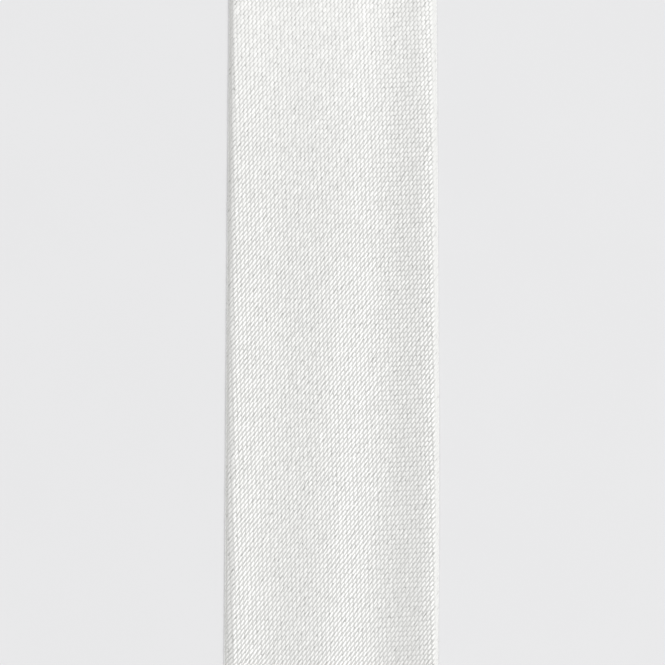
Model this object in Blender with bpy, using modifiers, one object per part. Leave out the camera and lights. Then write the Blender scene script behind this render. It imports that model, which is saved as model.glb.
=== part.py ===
# Cut length of single-fold satin bias tape, lying flat with its right side up.
# It is one strip of cloth: a face layer whose two long edges are folded under towards the middle.
# X runs across the tape, Y along it and Z up. The turned-under edges lie on Z = 0.
# The origin is below the middle of the tape.

import math

import bpy
import numpy as np

MM = 0.001

# Driving dimensions, in millimetres
TAPE_LENGTH = 100.0
CLOTH_THICKNESS = 1.0
LAYER_GAP = 0.3          # the least space between the face and the turned-under edges
LEFT_TURNING = 9.1       # from the left fold's outer edge to the left raw edge
RIGHT_TURNING = 8.6      # from the right fold's outer edge to the right raw edge

# Outline: a row for each section, from the near end to the far end.
# The folds' outer edges wander a little, so the tape is not quite even in width.
SECTION_COLUMNS = ("along", "left", "right")
SECTIONS = (
    (-50.0, -10.52, 9.84),
    (-30.0, -10.43, 9.97),
    (-15.0, -10.33, 10.06),
    (0.0, -10.24, 10.00),
    (15.0, -10.13, 9.91),
    (30.0, -10.03, 9.79),
    (50.0, -9.93, 9.68),
)

# Relief of the face: a row for each crest and valley, from the left fold to the right fold.
# share is its place across the tape; near_end and far_end are its height over the least gap.
RELIEF_COLUMNS = ("share", "near_end", "far_end")
RELIEF = (
    (0.00, 0.30, 0.36),
    (0.22, 0.10, 0.18),
    (0.49, 0.34, 0.26),
    (0.77, 0.00, 0.04),
    (1.00, 0.36, 0.30),
)

# Mesh density
ROWS_ALONG = 21
FACE_STEPS = 28
FOLD_STEPS = 10
TURNING_STEPS = 5

# Finish
SATIN_WHITE = (0.80, 0.80, 0.78, 1.0)
SATIN_ROUGHNESS = 0.45


def column(table, names, name):
    """One named column of a table, as an array."""
    return np.array([row[names.index(name)] for row in table])


def smooth_curve(places, values, at):
    """A cubic through each (place, value), whose slope there is that between its neighbours."""
    slopes = np.gradient(values, places)
    span = np.clip(np.searchsorted(places, at, side="right") - 1, 0, len(places) - 2)
    width = places[span + 1] - places[span]
    t = (at - places[span]) / width
    return (
        values[span] * (2 * t**3 - 3 * t**2 + 1)
        + values[span + 1] * (3 * t**2 - 2 * t**3)
        + slopes[span] * width * (t**3 - 2 * t**2 + t)
        + slopes[span + 1] * width * (t**3 - t**2)
    )


def level_curve(places, values, at):
    """Smooth steps from each value to the next, level at every crest, valley and fold."""
    span = np.clip(np.searchsorted(places, at, side="right") - 1, 0, len(places) - 2)
    t = (at - places[span]) / (places[span + 1] - places[span])
    rise = t * t * (3 - 2 * t)
    return values[span] + (values[span + 1] - values[span]) * rise


def middle_of_cloth(along, left, right):
    """Points of the middle of the cloth at one section, from the left raw edge to the right one."""
    places = column(RELIEF, RELIEF_COLUMNS, "share")
    far_share = along / TAPE_LENGTH + 0.5
    heights = (
        column(RELIEF, RELIEF_COLUMNS, "near_end") * (1 - far_share)
        + column(RELIEF, RELIEF_COLUMNS, "far_end") * far_share
    )
    half_cloth = CLOTH_THICKNESS / 2
    turning_z = half_cloth
    least_face_z = turning_z + CLOTH_THICKNESS + LAYER_GAP
    left_radius = (least_face_z + heights[0] - turning_z) / 2
    right_radius = (least_face_z + heights[-1] - turning_z) / 2
    left_centre = left + half_cloth + left_radius
    right_centre = right - half_cloth - right_radius

    share = np.linspace(0, 1, FACE_STEPS + 1)
    face_x = left_centre + (right_centre - left_centre) * share
    face_z = least_face_z + level_curve(places, heights, share)

    turn = np.linspace(-math.pi / 2, math.pi / 2, FOLD_STEPS + 1)[1:-1]
    left_fold_x = left_centre - left_radius * np.cos(turn)
    left_fold_z = turning_z + left_radius * (1 + np.sin(turn))
    right_fold_x = right_centre + right_radius * np.cos(-turn)
    right_fold_z = turning_z + right_radius * (1 + np.sin(-turn))

    left_turning_x = np.linspace(left + LEFT_TURNING, left_centre, TURNING_STEPS + 1)
    right_turning_x = np.linspace(right_centre, right - RIGHT_TURNING, TURNING_STEPS + 1)
    flat_z = np.full(TURNING_STEPS + 1, turning_z)

    x = np.concatenate([left_turning_x, left_fold_x, face_x, right_fold_x, right_turning_x])
    z = np.concatenate([flat_z, left_fold_z, face_z, right_fold_z, flat_z])
    return np.stack([x, np.full(len(x), along), z], axis=1)


def cloth_surface():
    """The rows of points of the whole tape, in millimetres, with the tape centred on X = 0."""
    places = column(SECTIONS, SECTION_COLUMNS, "along")
    along = np.linspace(-TAPE_LENGTH / 2, TAPE_LENGTH / 2, ROWS_ALONG)
    left = smooth_curve(places, column(SECTIONS, SECTION_COLUMNS, "left"), along)
    right = smooth_curve(places, column(SECTIONS, SECTION_COLUMNS, "right"), along)
    middle = (left.min() + right.max()) / 2
    return np.array([middle_of_cloth(*row) for row in zip(along, left - middle, right - middle)])


def grid_faces(rows, points):
    """Quads between neighbouring rows, wound so that the cloth's right side faces out."""
    corner = (np.arange(rows - 1)[:, None] * points + np.arange(points - 1)).ravel()
    return np.stack([corner, corner + 1, corner + points + 1, corner + points], axis=1)


def satin_material():
    material = bpy.data.materials.new("white_satin")
    material.use_nodes = True
    shader = material.node_tree.nodes["Principled BSDF"]
    shader.inputs["Base Color"].default_value = SATIN_WHITE
    shader.inputs["Roughness"].default_value = SATIN_ROUGHNESS
    shader.inputs["Metallic"].default_value = 0.0
    return material


def make_tape(collection):
    """The open surface at the middle of the cloth, given its thickness equally to both sides."""
    surface = cloth_surface()
    rows, points = surface.shape[:2]
    mesh = bpy.data.meshes.new("tape")
    mesh.from_pydata((surface.reshape(-1, 3) * MM).tolist(), [], grid_faces(rows, points).tolist())
    mesh.shade_smooth()
    mesh.materials.append(satin_material())
    tape = bpy.data.objects.new("tape", mesh)
    collection.objects.link(tape)
    thickness = tape.modifiers.new("cloth thickness", "SOLIDIFY")
    thickness.thickness = CLOTH_THICKNESS * MM
    thickness.offset = 0.0
    thickness.use_even_offset = True
    return tape


for old in list(bpy.data.objects):
    bpy.data.objects.remove(old)

bias_tape = bpy.data.collections.new("bias_tape")
bpy.context.scene.collection.children.link(bias_tape)
make_tape(bias_tape)
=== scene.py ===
import math

import bpy
import numpy as np
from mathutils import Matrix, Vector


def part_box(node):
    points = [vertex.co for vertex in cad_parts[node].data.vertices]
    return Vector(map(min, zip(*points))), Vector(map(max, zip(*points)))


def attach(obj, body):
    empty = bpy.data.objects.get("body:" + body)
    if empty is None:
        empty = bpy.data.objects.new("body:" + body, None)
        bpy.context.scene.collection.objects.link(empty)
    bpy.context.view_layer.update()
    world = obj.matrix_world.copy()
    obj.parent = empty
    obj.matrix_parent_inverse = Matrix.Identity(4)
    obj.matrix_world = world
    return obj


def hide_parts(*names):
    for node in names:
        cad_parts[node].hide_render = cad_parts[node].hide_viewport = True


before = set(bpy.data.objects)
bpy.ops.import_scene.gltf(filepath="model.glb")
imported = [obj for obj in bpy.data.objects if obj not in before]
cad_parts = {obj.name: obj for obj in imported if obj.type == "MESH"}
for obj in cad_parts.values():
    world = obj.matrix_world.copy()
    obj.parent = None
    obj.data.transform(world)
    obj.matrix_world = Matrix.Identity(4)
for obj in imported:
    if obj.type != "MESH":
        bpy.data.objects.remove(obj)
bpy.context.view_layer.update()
print("frame loaded")

mm = 0.001


def srgb(hexColour):
    # Each channel c of the hex colour becomes ((c + 0.055) / 1.055) to the power 2.4.
    channels = [int(hexColour[k:k + 2], 16) / 255 for k in (1, 3, 5)]
    return [((c + 0.055) / 1.055) ** 2.4 if c > 0.04045 else c / 12.92 for c in channels] + [1.0]


def addNode(tree, kind, settings=None, links=None):
    # A node with its settings; a link is input name or number: (node, output name or number).
    node = tree.nodes.new(kind)
    for name, value in (settings or {}).items():
        if isinstance(name, int) or name in node.inputs:
            node.inputs[name].default_value = value
        else:
            setattr(node, name, value)
    for name, (source, output) in (links or {}).items():
        tree.links.new(source.outputs[output], node.inputs[name])
    return node


def newMaterial(name):
    material = bpy.data.materials.new(name)
    material.use_nodes = True
    tree = material.node_tree
    tree.nodes.clear()
    shader = addNode(tree, "ShaderNodeBsdfPrincipled")
    addNode(tree, "ShaderNodeOutputMaterial", links={"Surface": (shader, "BSDF")})
    return material, tree, shader


def mixTone(tree, shader, dark, light, tone):
    # The colour goes from dark to light with the tone.
    mix = addNode(tree, "ShaderNodeMix", {"data_type": "RGBA", 6: srgb(dark), 7: srgb(light)}, {0: tone})
    tree.links.new(mix.outputs[2], shader.inputs["Base Color"])


def makePiece(name, points, faces, material):
    mesh = bpy.data.meshes.new(name)
    mesh.from_pydata((points * mm).tolist(), [], faces.tolist())
    mesh.shade_smooth()
    mesh.materials.append(material)
    piece = bpy.data.objects.new(name, mesh)
    bpy.context.scene.collection.objects.link(piece)
    return piece


def setValues(piece, name, values):
    # One number for each point, or one row of three, which the material reads by name.
    kind, field = ("FLOAT_VECTOR", "vector") if values.ndim == 2 else ("FLOAT", "value")
    attribute = piece.data.attributes.new(name, kind, "POINT")
    attribute.data.foreach_set(field, values.astype(np.float32).ravel())


def gridFaces(rows, columns):
    # Quads between neighbouring points of a grid, row by row.
    corner = (np.arange(rows - 1)[:, None] * columns + np.arange(columns - 1)).ravel()
    return np.stack([corner, corner + 1, corner + columns + 1, corner + columns], axis=1)


def smoothCurve(places, values, at):
    # A cubic through each value, whose slope there is that between its neighbours.
    slopes = np.gradient(values, places)
    k = np.clip(np.searchsorted(places, at, side="right") - 1, 0, len(places) - 2)
    width = places[k + 1] - places[k]
    t = (at - places[k]) / width
    return (values[k] * (2 * t**3 - 3 * t**2 + 1) + values[k + 1] * (3 * t**2 - 2 * t**3)
            + slopes[k] * width * (t**3 - 2 * t**2 + t) + slopes[k + 1] * width * (t**3 - t**2))


def smoothStep(t):
    # From 0 to 1 with t, level at both ends: 3 t^2 - 2 t^3.
    t = np.clip(t, 0, 1)
    return t * t * (3 - 2 * t)


def betweenEnds(pair, far):
    # From the near end's value to the far end's with the share far.
    return pair[0] * (1 - far) + pair[1] * far


# The folded strip: as long as the solid and within 0.2 mm of its outline, with the thinner cloth
# and lower face of real satin
solidLow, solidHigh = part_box("tape")
tape = dict(
    length=round((solidHigh[1] - solidLow[1]) / mm, 1),     # the solid's, to a tenth
    thickness=0.09,         # of the cloth under its floats
    crown=0.040,            # height of the floats over it
    leftTurning=9.1,        # width of the turned-under edges, from the fold to the raw edge
    rightTurning=8.6,
    # place along the tape, left edge, right edge
    outline=[
        (-50.0, -10.22, 10.23),
        (-30.0, -10.06, 10.32),
        (-15.0, -9.96, 10.40),
        (0.0, -9.85, 10.34),
        (15.0, -9.73, 10.26),
        (30.0, -9.61, 10.16),
        (50.0, -9.44, 10.06),
    ],
    outlineRows=21,         # as the solid has, centred by the outermost edges among them
    # share of the width, height of the cloth's middle at the near end and at the far end
    relief=[
        (0.00, 0.36, 0.40),
        (0.22, 0.24, 0.32),
        (0.49, 0.44, 0.43),
        (0.77, 0.21, 0.22),
        (1.00, 0.36, 0.37),
    ],
    # how far each fold reaches out sideways, at the near end and the far end
    leftReach=(1.00, 0.44),
    rightReach=(0.50, 0.70),
    # share of a fold's arc, slant there in degrees: a sloping shoulder, then a tight bend
    fold=[(0.00, 0.0), (0.10, 26.0), (0.80, 38.0), (0.88, 90.0), (0.95, 150.0), (1.00, 180.0)],
    foldSteps=240,
)

outline = np.array(tape["outline"])
relief = np.array(tape["relief"])
meanWidth = (outline[:, 2] - outline[:, 1]).mean()
outlineAlong = np.linspace(-tape["length"] / 2, tape["length"] / 2, tape["outlineRows"])
leftmost = smoothCurve(outline[:, 0], outline[:, 1], outlineAlong).min()
rightmost = smoothCurve(outline[:, 0], outline[:, 2], outlineAlong).max()
centring = (leftmost + rightmost) / 2
outside = tape["thickness"] / 2 + tape["crown"]     # from the cloth's middle to its floats' crowns
turningHeight = outside                             # so the turned-under edges lie on z = 0

# A fold's section: the running sums of its slant's cosine and sine, each from 0 to 1
foldTable = np.array(tape["fold"])
foldShare = np.linspace(0, 1, tape["foldSteps"] + 1)
foldSlant = np.radians(np.interp(foldShare, foldTable[:, 0], foldTable[:, 1]))
middleSlant = (foldSlant[1:] + foldSlant[:-1]) / 2
foldOut = np.concatenate([[0], np.cumsum(np.cos(middleSlant))]) / tape["foldSteps"]
foldDown = np.concatenate([[0], np.cumsum(np.sin(middleSlant))]) / tape["foldSteps"]
foldSize = (foldOut.max(), foldDown[-1])
foldOut = foldOut / foldSize[0]
foldDown = foldDown / foldSize[1]


def foldLength(reach, drop):
    # The arc of a fold: the root mean square of its two stretches.
    return np.sqrt(((reach / foldSize[0]) ** 2 + (drop / foldSize[1]) ** 2) / 2)


def clothPlace(across, along, lift):
    # The folded section: from the face's middle the cloth runs out level but for its relief,
    # round the fold at each side, and back under the face. across is measured on the
    # cloth, and lift is added along the normal of its right side. Also gives the bend, how
    # much of a fold's arc lies behind each point: 0 on the face and over 1 underneath.
    far = along / tape["length"] + 0.5
    left = smoothCurve(outline[:, 0], outline[:, 1], along) - centring
    right = smoothCurve(outline[:, 0], outline[:, 2], along) - centring
    heights = betweenEnds((relief[:, 1:2], relief[:, 2:3]), far)
    leftReach = betweenEnds(tape["leftReach"], far)
    rightReach = betweenEnds(tape["rightReach"], far)
    leftTop = left + outside + leftReach
    rightTop = right - outside - rightReach
    middle = (leftTop + rightTop) / 2
    halfFace = (rightTop - leftTop) / 2
    run = across * (right - left) / meanWidth

    # Face: a smooth step, level at both ends, from each crest or valley to the next
    share = np.clip((run + halfFace) / (2 * halfFace), 0, 1)
    z = heights[0].copy()
    slope = np.zeros_like(z)
    for k in range(len(relief) - 1):
        gap = relief[k + 1, 0] - relief[k, 0]
        t = np.clip((share - relief[k, 0]) / gap, 0, 1)
        rise = heights[k + 1] - heights[k]
        z += rise * smoothStep(t)
        slope += rise * 6 * t * (1 - t) / gap / (2 * halfFace)
    x = middle + np.clip(run, -halfFace, halfFace)
    nx = -slope
    nz = np.ones_like(z)
    bend = np.zeros_like(z)

    # Folds and turned-under edges: the slant goes from 0 on top to 180 degrees underneath
    for side, top, reach, height in ((-1, leftTop, leftReach, heights[0]),
                                     (1, rightTop, rightReach, heights[-1])):
        beyond = side * run - halfFace
        drop = height - turningHeight
        arc = foldLength(reach, drop)
        share = np.clip(beyond / arc, 0, 1)
        slant = np.interp(share, foldShare, foldSlant)
        under = np.maximum(beyond - arc, 0)
        bent = beyond > 0
        bend = np.where(bent, beyond / arc, bend)
        x = np.where(bent, top + side * (reach * np.interp(share, foldShare, foldOut) - under), x)
        z = np.where(bent, height - drop * np.interp(share, foldShare, foldDown), z)
        nx = np.where(bent, side * np.sin(slant) * drop / foldSize[1], nx)
        nz = np.where(bent, np.cos(slant) * reach / foldSize[0], nz)
    size = np.hypot(nx, nz)
    return np.stack([x + lift * nx / size, along, z + lift * nz / size], axis=-1), bend


def flatLimits():
    # The cloth's flat half-widths at mid-length: half the face, the fold's arc, and what is
    # left of the turning once the cloth has come back in from the fold's outer edge.
    limits = []
    for side, reaches, turning, height in (
        (-1, tape["leftReach"], tape["leftTurning"], relief[0, 1:].mean()),
        (1, tape["rightReach"], tape["rightTurning"], relief[-1, 1:].mean()),
    ):
        reach = sum(reaches) / 2
        halfFace = meanWidth / 2 - outside - reach
        arc = foldLength(reach, height - turningHeight)
        limits.append(side * (halfFace + arc + turning - outside - reach * (1 - foldOut[-1])))
    return limits


leftRaw, rightRaw = flatLimits()
print("cloth cut", round(rightRaw - leftRaw, 2), "mm wide")

# The broad bands of light and shade on the face, as tones of the yarn
lightAndShadeBands = dict(
    places=[-27.0, 0.0, 28.0],      # along the tape
    # share of the width, then the floats' tone at each of those places
    floats=[
        (0.00, 0.86, 0.88, 0.70),
        (0.10, 0.90, 0.91, 0.74),
        (0.20, 0.78, 0.87, 0.72),
        (0.32, 0.73, 0.79, 0.69),
        (0.40, 0.75, 0.80, 0.69),
        (0.56, 0.95, 0.91, 0.70),
        (0.66, 0.84, 0.91, 0.77),
        (0.73, 0.70, 0.84, 0.73),
        (0.80, 0.60, 0.78, 0.69),
        (0.90, 0.62, 0.72, 0.63),
        (0.94, 0.76, 0.90, 0.76),
        (0.97, 0.90, 0.90, 0.78),
        (1.00, 0.94, 0.92, 0.80),
    ],
    # share of the width, then how much of its own tone the ground keeps at each of them
    ground=[
        (0.00, 1.00, 1.00, 1.00),
        (0.70, 1.00, 1.00, 1.00),
        (0.82, 0.92, 0.78, 0.82),
        (0.94, 0.92, 0.78, 0.82),
        (1.00, 1.00, 1.00, 1.00),
    ],
)

# The painted light and shade of the yarn on the folds: the left fold's side painted darker as shade, the
# right fold's side painted as lit, and the steep wall painted pale as light. From and over are shares of
# the fold's arc, and pairs are for the near end and the far end.
foldLightAndShade = dict(
    leftShadeTone=(0.12, 0.22),  # tone of each fold's sloping side: painted shade on the left, painted light on the right
    rightLightTone=(0.58, 0.53),
    shoulderShade=(0.55, 0.30),  # how far the left shoulder's painted shade goes towards it
    shoulderOver=0.08,
    sideFrom=(0.68, 0.10),  # where the left side begins to take it wholly
    sideOver=0.15,
    rightOver=0.50,
    litWallFrom=0.78,          # the steep wall below is painted pale, as light
    litWallOver=0.06,
    fadeTo=1.25,            # and the turned-under edge takes the plain tone again
    fadeOver=0.20,
)


def paintedBandTone(rows, across, along):
    # The painted light and shade of the broad bands: the tones at each place along the tape, read off at the
    # share of the width, and between two places as much of each as the point is near to it.
    table = np.array(rows)
    share = across / meanWidth + 0.5
    return sum(np.interp(along, lightAndShadeBands["places"], nearness) * np.interp(share, table[:, 0], tones)
               for nearness, tones in zip(np.eye(len(lightAndShadeBands["places"])), table[:, 1:].T))


def paintFoldLightAndShade(tone, across, along, bend):
    # Painted light and shade on the folds. The tone goes towards that of the fold's side with the bend: on
    # the left, as painted shade, partly on the shoulder and wholly on the slope; on the right, as painted
    # light, steadily. Then come the wall, painted pale as light, and the turned-under edge.
    far = along / tape["length"] + 0.5
    shoulderShade = betweenEnds(foldLightAndShade["shoulderShade"], far) * smoothStep(bend / foldLightAndShade["shoulderOver"])
    start = betweenEnds(foldLightAndShade["sideFrom"], far)
    leftShare = shoulderShade + (1 - shoulderShade) * smoothStep((bend - start) / foldLightAndShade["sideOver"])
    rightShare = smoothStep(bend / foldLightAndShade["rightOver"])
    fade = smoothStep((foldLightAndShade["fadeTo"] - bend) / foldLightAndShade["fadeOver"])
    share = np.where(across < 0, leftShare, rightShare) * fade
    side = np.where(across < 0, betweenEnds(foldLightAndShade["leftShadeTone"], far),
                    betweenEnds(foldLightAndShade["rightLightTone"], far))
    side = side + (1 - side) * smoothStep((bend - foldLightAndShade["litWallFrom"]) / foldLightAndShade["litWallOver"])
    return tone * (1 - share) + side * share


yarn = dict(
    light="#fdfdfb",        # yarn on top, tone 1
    dark="#b3b3b1",         # painted shade of yarn that others shade, tone 0
    gap="#8e8e8c",          # painted shade of the deepest gaps between yarns
)

# The ground: the cloth itself, with the floats lying on it; its colour is painted greyer than the floats as
# the shade between them
ground = dict(
    rows=120,               # faces along the tape
    # columns of faces from the raw edge to foldTo, on to foldFrom, and between the folds
    turningColumns=14,
    foldColumns=60,
    faceColumns=56,
    foldFrom=9.0,           # places across the cloth
    foldTo=11.4,
    # place along the tape, tone of the ground's painted shade
    tones=[(-50.0, 0.22), (5.0, 0.22), (15.0, 0.24), (24.0, 0.28), (30.0, 0.31), (50.0, 0.31)],
    roughness=0.60,
    ribPitch=0.19,          # about twice the spacing of real yarns, so that the ribs show
    ribLean=60.0,           # degrees from straight across, as the floats
    ribTone=0.06,
    ribHeight=0.008,
    # the gaps are painted shade: noise darkens the ground's colour where the yarns part
    gapWidth=0.22,          # size of the gaps, across the floats and along them
    gapLength=0.60,
    gapFrom=0.55,           # noise that starts a gap, and noise that makes it deepest
    gapTo=0.74,
    gapShade=0.24,
)


def groundMaterial():
    # The satin's ground, woven of the yarns that cross the floats. It shows between the floats and on the
    # wrong side as fine slanting ribs, duller than the floats and painted greyer as the shade between them,
    # with a darker gap painted here and there as shade where the yarns part. Tone 0 stands at darkAt on
    # the way from the gaps' colour to the lightest.
    gapLight, darkLight, topLight = (srgb(yarn[name])[0] for name in ("gap", "dark", "light"))
    darkAt = (darkLight - gapLight) / (topLight - gapLight)
    material, tree, shader = newMaterial("wovenSatinGround")
    tone = addNode(tree, "ShaderNodeAttribute", {"attribute_name": "tone"})
    place = addNode(tree, "ShaderNodeAttribute", {"attribute_name": "yarnPlace"})
    turn = addNode(tree, "ShaderNodeAttribute", {"attribute_name": "ribTurn"})
    ribs = addNode(tree, "ShaderNodeMath", {"operation": "COSINE"}, {0: (turn, "Fac")})
    noise = addNode(tree, "ShaderNodeTexNoise", {"Scale": 1.0, "Detail": 1.0}, {"Vector": (place, "Vector")})
    gaps = addNode(tree, "ShaderNodeMapRange",
                   {"From Min": ground["gapFrom"], "From Max": ground["gapTo"],
                    "To Min": darkAt, "To Max": darkAt - ground["gapShade"]},
                   {"Value": (noise, 0)})
    base = addNode(tree, "ShaderNodeMath", {"operation": "MULTIPLY_ADD", 1: 1 - darkAt},
                   {0: (tone, "Fac"), 2: (gaps, 0)})
    shade = addNode(tree, "ShaderNodeMath", {"operation": "MULTIPLY_ADD", 1: ground["ribTone"]},
                    {0: (ribs, 0), 2: (base, 0)})
    mixTone(tree, shader, yarn["gap"], yarn["light"], (shade, 0))
    bump = addNode(tree, "ShaderNodeBump", {"Strength": 1.0, "Distance": ground["ribHeight"] * mm},
                   {"Height": (ribs, 0)})
    tree.links.new(bump.outputs["Normal"], shader.inputs["Normal"])
    shader.inputs["Roughness"].default_value = ground["roughness"]
    return material


def makeGround():
    # A grid on the whole cloth, from raw edge to raw edge and from cut end to cut end. Its
    # columns are close together round the folds and wide apart elsewhere. The material's
    # places are measured across the floats and along them: a sin - b cos and a cos + b sin.
    spans = [
        (leftRaw, ground["turningColumns"]),
        (-ground["foldTo"], ground["foldColumns"]),
        (-ground["foldFrom"], ground["faceColumns"]),
        (ground["foldFrom"], ground["foldColumns"]),
        (ground["foldTo"], ground["turningColumns"]),
        (rightRaw, 0),
    ]
    across = [np.linspace(a[0], b[0], a[1], endpoint=False) for a, b in zip(spans, spans[1:])]
    across = np.concatenate(across + [[rightRaw]])
    along = np.linspace(-tape["length"] / 2, tape["length"] / 2, ground["rows"] + 1)
    a, b = (g.ravel() for g in np.meshgrid(across, along))
    points, bend = clothPlace(a, b, 0.0)
    piece = makePiece("tapeCloth", points, gridFaces(len(along), len(across)), groundMaterial())

    tones = np.array(ground["tones"])
    # the ground's painted shade, times the painted bands of light and shade
    tone = np.interp(b, tones[:, 0], tones[:, 1]) * paintedBandTone(lightAndShadeBands["ground"], a, b)
    setValues(piece, "tone", paintFoldLightAndShade(tone, a, b, bend))
    lean = math.radians(ground["ribLean"])
    acrossFloats = a * math.sin(lean) - b * math.cos(lean)
    alongFloats = a * math.cos(lean) + b * math.sin(lean)
    setValues(piece, "ribTurn", acrossFloats * math.tau / ground["ribPitch"])
    gapPlace = [acrossFloats / ground["gapWidth"], alongFloats / ground["gapLength"], 0 * a]
    setValues(piece, "yarnPlace", np.stack(gapPlace, axis=1))

    solid = piece.modifiers.new("cloth thickness", "SOLIDIFY")
    solid.thickness = tape["thickness"] * mm
    solid.offset = 0.0
    return piece


# The floats: each stands for one long step of a yarn over the ones that cross it
weave = dict(
    columnPitch=0.379,      # from float to float across the tape
    rowPitch=0.452,         # and along it, in the middle of the length
    rowTightening=1.78e-4,  # share of the pitch that each row loses on the one before
    columnLean=-0.0163,     # sideways step of a column from one row to the next
    columns=75,             # lattice points on each side of the middle
    rows=130,
    # place across the tape, rise of the rows there
    rowSag=[(-10.0, 0.0), (-5.5, -0.15), (1.2, -0.27), (4.3, -0.35), (10.0, -0.06)],
    # place along the tape, lean in degrees from straight across, length, width, rim's tone of painted shade
    sizes=[
        (-50.0, 60.0, 0.73, 0.23, 0.20),
        (5.0, 59.0, 0.73, 0.23, 0.17),
        (15.0, 60.0, 0.71, 0.25, 0.22),
        (24.0, 61.0, 0.70, 0.28, 0.37),
        (30.0, 62.0, 0.69, 0.31, 0.50),
        (50.0, 63.0, 0.69, 0.31, 0.50),
    ],
    # place across the tape, share of that length there, turn of the lean
    sizesAcross=[(-10.0, 1.0, 0.0), (3.2, 1.0, 0.0), (6.2, 0.93, -2.0), (10.0, 0.93, -2.0)],
    sink=0.020,             # depth of a float's rim under the ground's surface
    alongGrid=[-1, -0.55, 0, 0.55, 1],
    acrossGrid=[-1, -0.4, 0.4, 1],
    taper=0.45,             # share of its width that a float loses at its tips
    highlightRun=0.6,          # share of the half-width over which the tone rises from the rim's painted shade to the crown's painted highlight
    # chance: each is the spread of a normal distribution
    placeSpread=(0.012, 0.016),
    sizeSpread=0.06,
    widthSpread=0.08,
    turnSpread=2.0,         # degrees
    toneSpread=0.04,
    rimSpread=0.14,
    seed=7,
    faceEdge=9.6,           # place across the cloth where the face's floats end
    endMargin=0.34,         # no float's middle is nearer to a cut end
    edgeMargin=0.20,        # or to a raw edge
    cellFill=0.84,          # share of a float's cell on its map that the float fills
    roughness=0.35,
    filaments=3,            # ridges along a float, fewer and coarser than the real ones
    ridge=0.25,             # strength of their bump
    ridgeHeight=0.006,
)

sag = np.array(weave["rowSag"])
sizes = np.array(weave["sizes"])
sizesAcross = np.array(weave["sizesAcross"])


def satinMaterial():
    # Polyester satin, woven of bright filament yarn. Each float is painted lightest along its crown, a
    # painted highlight, and greyer at its rim, a painted shade, and its smooth filaments give it a soft
    # gloss with fine ridges.
    material, tree, shader = newMaterial("wovenPolyesterSatin")
    tone = addNode(tree, "ShaderNodeAttribute", {"attribute_name": "tone"})
    mixTone(tree, shader, yarn["dark"], yarn["light"], (tone, "Fac"))
    turn = addNode(tree, "ShaderNodeAttribute", {"attribute_name": "filamentTurn"})
    ridges = addNode(tree, "ShaderNodeMath", {"operation": "COSINE"}, {0: (turn, "Fac")})
    bump = addNode(tree, "ShaderNodeBump",
                   {"Strength": weave["ridge"], "Distance": weave["ridgeHeight"] * mm},
                   {"Height": (ridges, 0)})
    tree.links.new(bump.outputs["Normal"], shader.inputs["Normal"])
    shader.inputs["Roughness"].default_value = weave["roughness"]
    return material


def setCells(piece, count, u, v):
    # Each float has a square cell of its own on the map: its u and v fill it but for a margin.
    side = math.ceil(math.sqrt(count))
    cell = np.arange(count)[:, None]
    inCell = np.stack([u, v], axis=-1)[None] * weave["cellFill"] / 2 + 0.5
    places = (np.stack([cell % side, cell // side], axis=-1) + inCell) / side
    corners = np.empty(len(piece.data.loops), dtype=np.int32)
    piece.data.loops.foreach_get("vertex_index", corners)
    cells = piece.data.uv_layers.new(name="OFBake")
    cells.data.foreach_set("uv", places.reshape(-1, 2)[corners].astype(np.float32).ravel())


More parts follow.
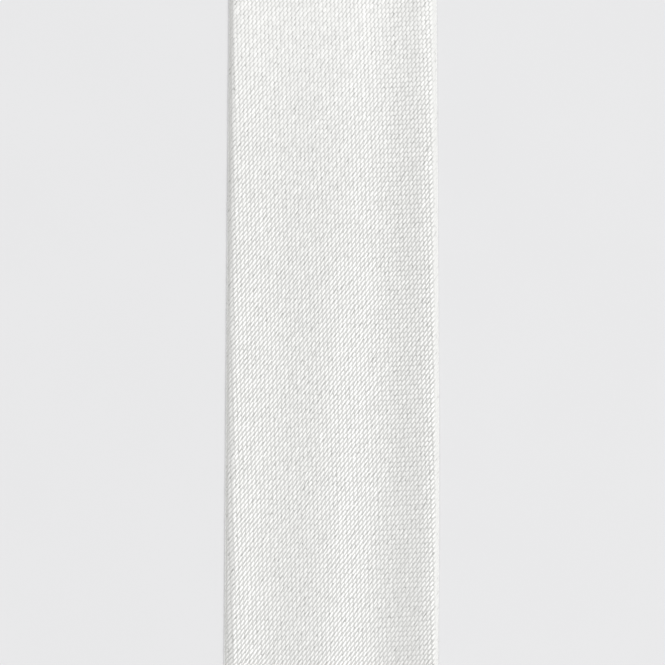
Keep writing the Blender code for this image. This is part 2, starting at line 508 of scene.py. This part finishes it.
def makeFloats(name, low, high, material):
    # A float is a lens on a grid of u along it and v across it, each from -1 to 1: its
    # half-width is 1 - taper |u|^3 and its height (1 - |u|^4)(1 - |v|^2.2). One stands at
    # every lattice point whose place across the cloth is between low and high.
    rng = np.random.default_rng(weave["seed"])
    i, j = (g.ravel() for g in np.meshgrid(
        np.arange(-weave["columns"], weave["columns"] + 1), np.arange(-weave["rows"], weave["rows"] + 1)))
    centreX = i * weave["columnPitch"] + j * weave["columnLean"]
    centreX = centreX + rng.normal(0, weave["placeSpread"][0], i.size)
    centreY = j * weave["rowPitch"] * (1 - weave["rowTightening"] * j)
    centreY = centreY + rng.normal(0, weave["placeSpread"][1], i.size)
    centreY += np.interp(centreX, sag[:, 0], sag[:, 1])
    size = 1 + rng.normal(0, weave["sizeSpread"], i.size)
    thickness = 1 + rng.normal(0, weave["widthSpread"], i.size)
    turn = rng.normal(0, weave["turnSpread"], i.size)
    tone = rng.normal(0, weave["toneSpread"], i.size)
    rim = rng.normal(0, weave["rimSpread"], i.size)
    inside = (centreX >= low) & (centreX < high)
    inside &= np.abs(centreY) < tape["length"] / 2 - weave["endMargin"]
    centreX, centreY, size, thickness, turn, tone, rim = (
        q[inside][:, None] for q in (centreX, centreY, size, thickness, turn, tone, rim))

    # Shape
    turn = turn + np.interp(centreX, sizesAcross[:, 0], sizesAcross[:, 2])
    size = size * np.interp(centreX, sizesAcross[:, 0], sizesAcross[:, 1])
    lean = np.radians(np.interp(centreY, sizes[:, 0], sizes[:, 1]) + turn)
    half = np.interp(centreY, sizes[:, 0], sizes[:, 2]) * size / 2
    width = np.interp(centreY, sizes[:, 0], sizes[:, 3]) * thickness
    u, v = (g.ravel() for g in np.meshgrid(weave["alongGrid"], weave["acrossGrid"], indexing="ij"))
    run = u * half
    offset = v * width / 2 * (1 - weave["taper"] * np.abs(u) ** 3)
    x = centreX + run * np.cos(lean) + offset * np.sin(lean)
    y = centreY + run * np.sin(lean) - offset * np.cos(lean)
    lens = (1 - np.abs(u) ** 4) * (1 - np.abs(v) ** 2.2)
    lift = tape["thickness"] / 2 - weave["sink"] + (tape["crown"] + weave["sink"]) * lens + 0 * x
    points, bend = clothPlace(x.ravel(), y.ravel(), lift.ravel())
    first = np.arange(x.shape[0])[:, None, None] * u.size
    grid = gridFaces(len(weave["alongGrid"]), len(weave["acrossGrid"]))
    piece = makePiece(name, points, (first + grid[None, :, ::-1]).reshape(-1, 4), material)
    setCells(piece, x.shape[0], u, v)

    # Tone: a painted highlight along the crown and painted shade of the rim's tone at the rim, times the
    # band's painted light and shade
    rim = np.clip(np.interp(centreY, sizes[:, 0], sizes[:, 4]) + rim, 0, 1)
    bright = rim + (1 - rim) * (1 - np.abs(u) ** 4) * np.clip((1 - np.abs(v)) / weave["highlightRun"], 0, 1)
    tone = np.clip(tone + paintedBandTone(lightAndShadeBands["floats"], centreX, centreY), 0, 1)
    setValues(piece, "tone", paintFoldLightAndShade((tone * bright).ravel(), x.ravel(), y.ravel(), bend))
    setValues(piece, "filamentTurn", np.tile(v * math.pi * weave["filaments"], x.shape[0]))
    print(name, x.shape[0], "floats")
    return piece


cloth = makeGround()
satin = satinMaterial()
strips = (
    ("floatsLeftTurning", leftRaw + weave["edgeMargin"], -weave["faceEdge"]),
    ("floatsFaceLeft", -weave["faceEdge"], 0.0),
    ("floatsFaceRight", 0.0, weave["faceEdge"]),
    ("floatsRightTurning", weave["faceEdge"], rightRaw - weave["edgeMargin"]),
)
floatPieces = [makeFloats(name, low, high, satin) for name, low, high in strips]
for piece in [cloth] + floatPieces:
    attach(piece, "root")
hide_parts("tape")
print("tape made")

# The paper it lies on
paper = dict(
    side=4000.0,
    dark="#d9d9da",
    light="#dbdbdc",
    mottle=12.0,            # size of the mottle and of the grain
    grain=0.4,
    grainHeight=0.01,
    grainStrength=0.1,
    roughness=0.9,
    gloss=0.2,
)


def paperMaterial():
    # Matt uncoated paper, pressed smooth: pale and even, with a faint mottle and a fine grain.
    material, tree, shader = newMaterial("mattPaper")
    place = addNode(tree, "ShaderNodeTexCoord")
    mottle = addNode(tree, "ShaderNodeTexNoise", {"Scale": 1 / (paper["mottle"] * mm)},
                     {"Vector": (place, "Object")})
    mixTone(tree, shader, paper["dark"], paper["light"], (mottle, 0))
    grain = addNode(tree, "ShaderNodeTexNoise", {"Scale": 1 / (paper["grain"] * mm)},
                    {"Vector": (place, "Object")})
    bump = addNode(tree, "ShaderNodeBump",
                   {"Strength": paper["grainStrength"], "Distance": paper["grainHeight"] * mm},
                   {"Height": (grain, 0)})
    tree.links.new(bump.outputs["Normal"], shader.inputs["Normal"])
    shader.inputs["Roughness"].default_value = paper["roughness"]
    shader.inputs["Specular IOR Level"].default_value = paper["gloss"]
    return material


corners = np.array([(-1, -1, 0), (1, -1, 0), (1, 1, 0), (-1, 1, 0)]) * paper["side"] / 2
floor = makePiece("paper", corners, np.array([[0, 1, 2, 3]]), paperMaterial())

# Two soft lamps and an even surround
light = dict(
    distance=2.0,           # of each lamp, in metres
    world=0.68,             # strength of the surround
    # name, side of the tape, height in degrees, size and power in metres and watts
    lamps=[("keyLight", 1, 58.0, 1.6, 21.5), ("fillLight", -1, 60.0, 1.2, 5.0)],
)
for name, side, height, size, power in light["lamps"]:
    area = bpy.data.lights.new(name, "AREA")
    area.shape = "SQUARE"
    area.size = size
    area.energy = power
    lamp = bpy.data.objects.new(name, area)
    up = math.radians(height)
    lamp.location = (side * light["distance"] * math.cos(up), 0, light["distance"] * math.sin(up))
    lamp.rotation_euler = (0, side * (math.pi / 2 - up), 0)
    bpy.context.scene.collection.objects.link(lamp)

world = bpy.data.worlds.new("studio")
world.use_nodes = True
world.node_tree.nodes["Background"].inputs["Color"].default_value = (1, 1, 1, 1)
world.node_tree.nodes["Background"].inputs["Strength"].default_value = light["world"]
bpy.context.scene.world = world

# The camera looks straight down from far off
view = dict(
    frame=63.03,            # width of the picture at the height of the face
    faceHeight=0.45,
    centreX=0.243,          # the picture's middle, measured across as the outline is
    distance=500.0,
    sensor=36.0,
    nearest=10.0,           # what is nearer isn't drawn
)
camera = bpy.data.cameras.new("camera")
camera.sensor_width = view["sensor"]
camera.lens = view["sensor"] * (view["distance"] - view["faceHeight"]) / view["frame"]
camera.clip_start = view["nearest"] * mm
cameraObject = bpy.data.objects.new("camera", camera)
cameraObject.location = ((view["centreX"] - centring) * mm, 0, view["distance"] * mm)
bpy.context.scene.collection.objects.link(cameraObject)
bpy.context.scene.camera = cameraObject
bpy.context.scene.view_settings.view_transform = "Standard"
print("paper, light and camera made")
